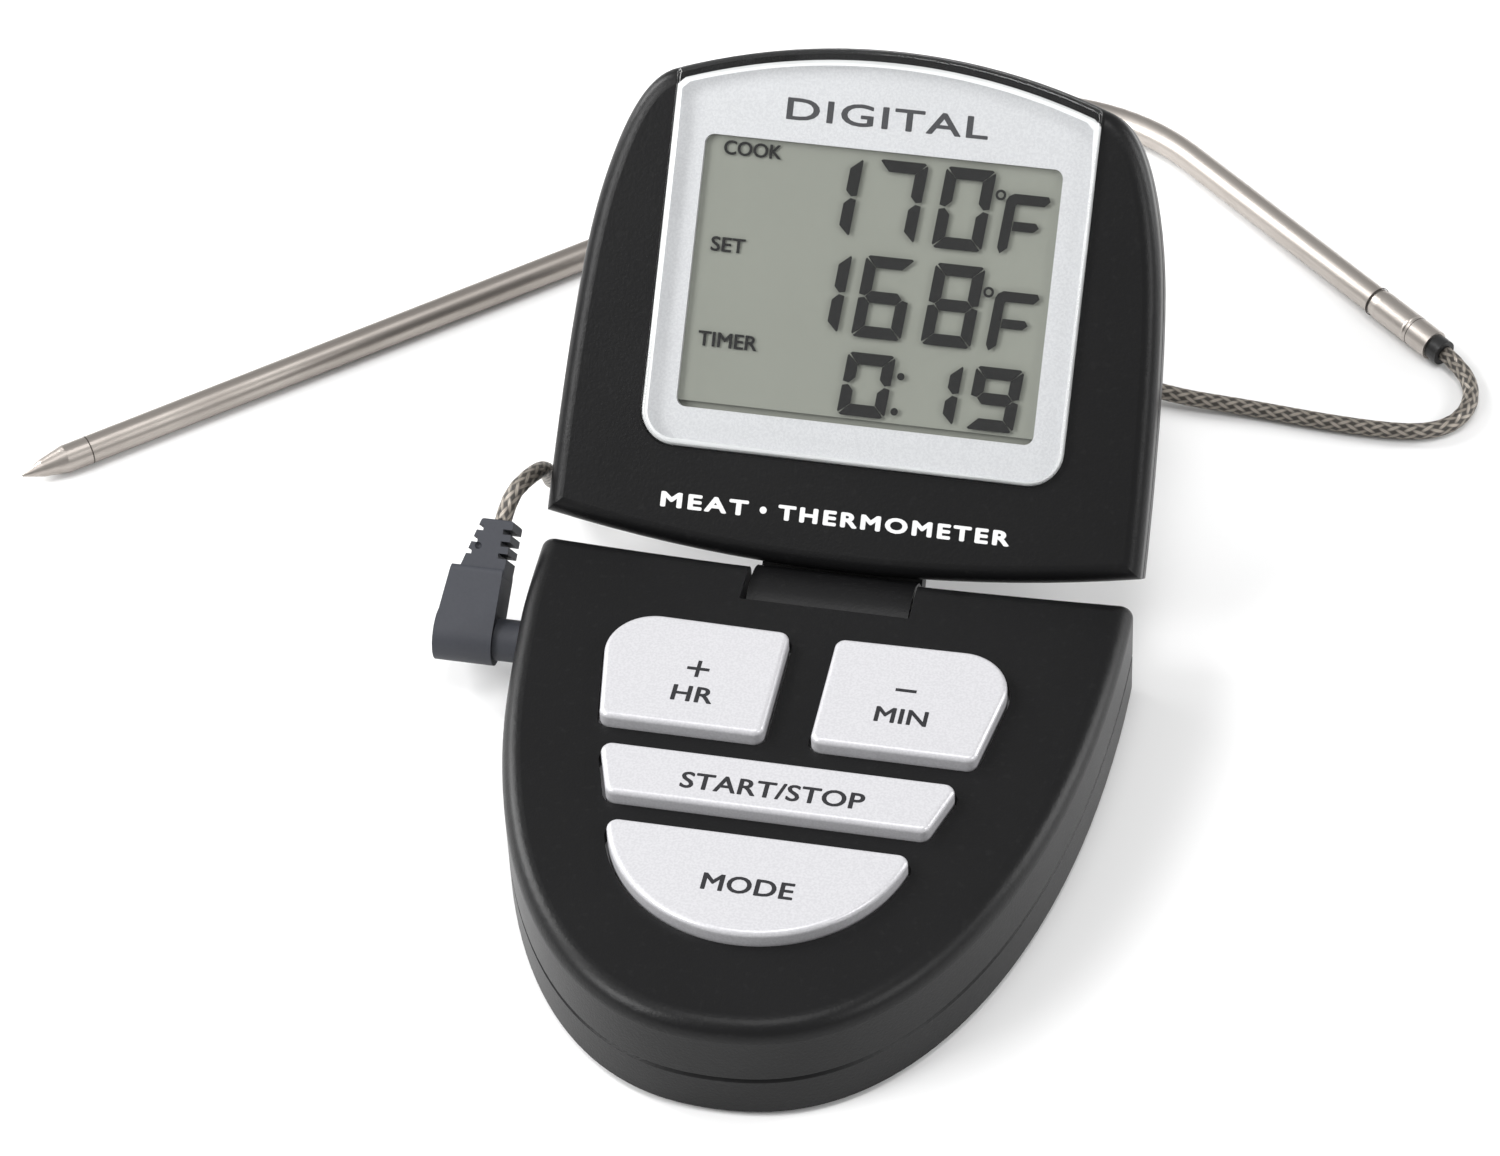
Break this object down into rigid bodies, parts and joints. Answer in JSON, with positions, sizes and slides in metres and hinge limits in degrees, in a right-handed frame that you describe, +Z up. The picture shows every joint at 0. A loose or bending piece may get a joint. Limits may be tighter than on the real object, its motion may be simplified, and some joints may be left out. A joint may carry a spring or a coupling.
{
  "type": "meat thermometer",
  "caption": "Digital meat thermometer and timer: tilting display head on a keypad base, with a braided lead and a bent steel probe plugged into its side.",
  "frame": {"origin": "centre of the flat underside of the base, on the surface it stands on", "axes": "+Z up, -Y towards the user at the keypad's rounded end, +X to the user's right, along the head's hinge"},
  "size_m": [0.1874, 0.1861, 0.0626],
  "materials": {
    "black_plastic": "fine matt grain",
    "silver_plastic": "satin silver paint",
    "clear_lens": "polished clear acrylic",
    "display_glass": "grey-green display",
    "dark_plastic": "moulded",
    "screw_steel": "zinc plated",
    "nickel_plate": "nickel plated",
    "cell_jacket": "plain printed jacket",
    "circuit_board": "solder mask",
    "clear_film": "clear film",
    "ribbon_film": "amber film",
    "brass_disc": "plain",
    "strip_rubber": "soft",
    "dome_rubber": "silicone",
    "plug_rubber": "matt blue-grey",
    "seal_rubber": "heat shrunk",
    "steel_braid": "braided wire",
    "probe_steel": "brushed stainless",
    "bead_glass": "glass bead",
    "dark_ink": "printed",
    "white_ink": "printed"
  },
  "bodies": {
    "base": {"base_lower_shell": "black_plastic", "base_ribbon": "ribbon_film", "base_screws": "screw_steel", "base_upper_shell": "black_plastic", "battery_cell": "cell_jacket", "battery_contacts": "nickel_plate", "buzzer": "dark_plastic", "buzzer_disc": "brass_disc", "dome_hour": "dome_rubber", "dome_minute": "dome_rubber", "dome_mode": "dome_rubber", "dome_start_stop": "dome_rubber", "hinge_pins": "screw_steel", "key_circuit_board": "circuit_board", "key_membrane": "clear_film", "probe_jack": "dark_plastic"},
    "battery_door": {"battery_door": "black_plastic"},
    "hour_key": {"key_hour": "silver_plastic"},
    "minute_key": {"key_minute": "silver_plastic"},
    "start_stop_key": {"key_start_stop": "silver_plastic"},
    "mode_key": {"key_mode": "silver_plastic"},
    "head": {"display_bezel": "silver_plastic", "display_driver": "dark_plastic", "display_lens": "clear_lens", "head_circuit_board": "circuit_board", "head_front_shell": "black_plastic", "head_rear_shell": "black_plastic", "head_ribbon": "ribbon_film", "head_screws": "screw_steel", "lcd_connector": "strip_rubber", "lcd_holder": "dark_plastic", "lcd_panel": "display_glass"},
    "probe_lead": {"cord_coil": "steel_braid", "plug_body": "plug_rubber", "plug_cord": "steel_braid", "plug_insulator": "dark_plastic", "plug_pin": "nickel_plate", "plug_tip": "nickel_plate", "probe_cord": "steel_braid", "probe_seal": "seal_rubber", "probe_sleeve": "probe_steel", "probe_tip": "probe_steel", "probe_tube": "probe_steel", "thermistor": "bead_glass"}
  },
  "joints": [
    {"name": "head_tilt", "type": "hinge", "parent": "base", "child": "head", "pos_m": [0, 0.0348, 0.0076], "axis": [1, 0, 0], "range_deg": [-31.5, 8.5]},
    {"name": "hour_press", "type": "slide", "parent": "base", "child": "hour_key", "axis": [0, 0, -1], "range_m": [0, 0.0007], "stiffness_N_per_m": 1500, "springref_m": -0.0003, "deforming": ["dome_hour"]},
    {"name": "minute_press", "type": "slide", "parent": "base", "child": "minute_key", "axis": [0, 0, -1], "range_m": [0, 0.0007], "stiffness_N_per_m": 1500, "springref_m": -0.0003, "deforming": ["dome_minute"]},
    {"name": "start_stop_press", "type": "slide", "parent": "base", "child": "start_stop_key", "axis": [0, 0, -1], "range_m": [0, 0.0007], "stiffness_N_per_m": 1500, "springref_m": -0.0003, "deforming": ["dome_start_stop"]},
    {"name": "mode_press", "type": "slide", "parent": "base", "child": "mode_key", "axis": [0, 0, -1], "range_m": [0, 0.0007], "stiffness_N_per_m": 1500, "springref_m": -0.0003, "deforming": ["dome_mode"]},
    {"name": "door_removal", "type": "slide", "parent": "base", "child": "battery_door", "axis": [0, 0, -1], "range_m": [0, 0.006]},
    {"name": "plug_removal", "type": "slide", "parent": "base", "child": "probe_lead", "axis": [-1, 0, 0], "range_m": [0, 0.0125]}
  ]
}
